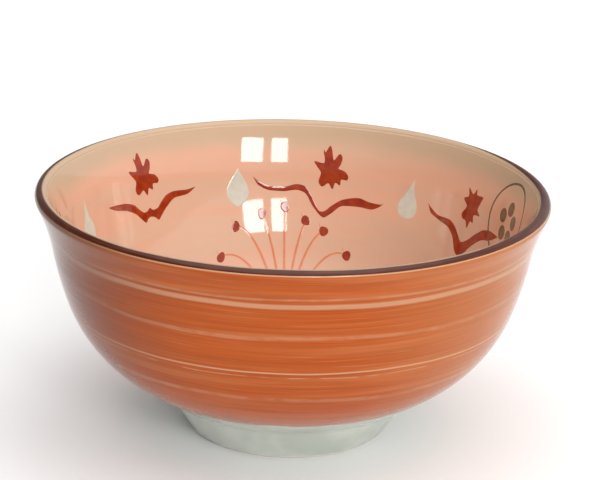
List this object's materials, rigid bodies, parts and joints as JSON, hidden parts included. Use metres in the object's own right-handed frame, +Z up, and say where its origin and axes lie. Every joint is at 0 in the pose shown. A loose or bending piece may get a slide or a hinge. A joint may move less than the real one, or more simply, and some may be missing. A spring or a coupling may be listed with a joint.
{
  "type": "rice bowl",
  "caption": "Round porcelain rice bowl with a flared lip, a brushed glaze, painted motifs inside and a leaning foot ring.",
  "frame": {"origin": "centre of the foot's contact ring, on the surface that the bowl stands on", "axes": "+Z up along the bowl's axis of revolution; +Y to the back of the bowl, where the first blossom spray is; +X to the right"},
  "size_m": [0.148, 0.148, 0.0724],
  "materials": {
    "porcelain": "bare fired porcelain, matt and fine-grained where the glaze is wiped off the contact ring",
    "orange_glaze": "glossy orange-brown glaze brushed round the bowl in fine bands, with pale lines where it lies thin",
    "peach_glaze": "glossy peach glaze, greyer and paler at the lip",
    "pale_glaze": "glossy pale grey-green clear glaze over porcelain",
    "iron_band": "glossy dark brown iron glaze on the lip",
    "red_enamel": "glossy brick-red painted motifs",
    "white_enamel": "glossy grey-white painted drops",
    "orange_enamel": "thin translucent orange brush lines",
    "olive_print": "thin olive-brown printed ornament"
  },
  "bodies": {
    "root": {"bird_stroke_1": "red_enamel", "bird_stroke_2": "red_enamel", "bird_stroke_3": "red_enamel", "bird_stroke_4": "red_enamel", "bird_stroke_5": "red_enamel", "bird_stroke_6": "red_enamel", "bird_stroke_7": "red_enamel", "bowl_body": "porcelain", "foot_glaze": "pale_glaze", "foot_ring": "porcelain", "inner_glaze": "peach_glaze", "lily_anthers_1": "red_enamel", "lily_anthers_2": "red_enamel", "lily_anthers_3": "red_enamel", "lily_stems_1": "orange_enamel", "lily_stems_2": "orange_enamel", "lily_stems_3": "orange_enamel", "maple_leaf_1": "red_enamel", "maple_leaf_2": "red_enamel", "maple_leaf_3": "red_enamel", "maple_leaf_4": "red_enamel", "maple_leaf_5": "red_enamel", "maple_leaf_6": "red_enamel", "maple_leaf_7": "red_enamel", "outer_glaze": "orange_glaze", "recess_glaze": "pale_glaze", "rim_band": "iron_band", "ring_ornament": "olive_print", "white_drop_1": "white_enamel", "white_drop_2": "white_enamel", "white_drop_3": "white_enamel", "white_drop_4": "white_enamel", "white_drop_5": "white_enamel", "white_drop_6": "white_enamel", "white_drop_7": "white_enamel"}
  },
  "joints": []
}
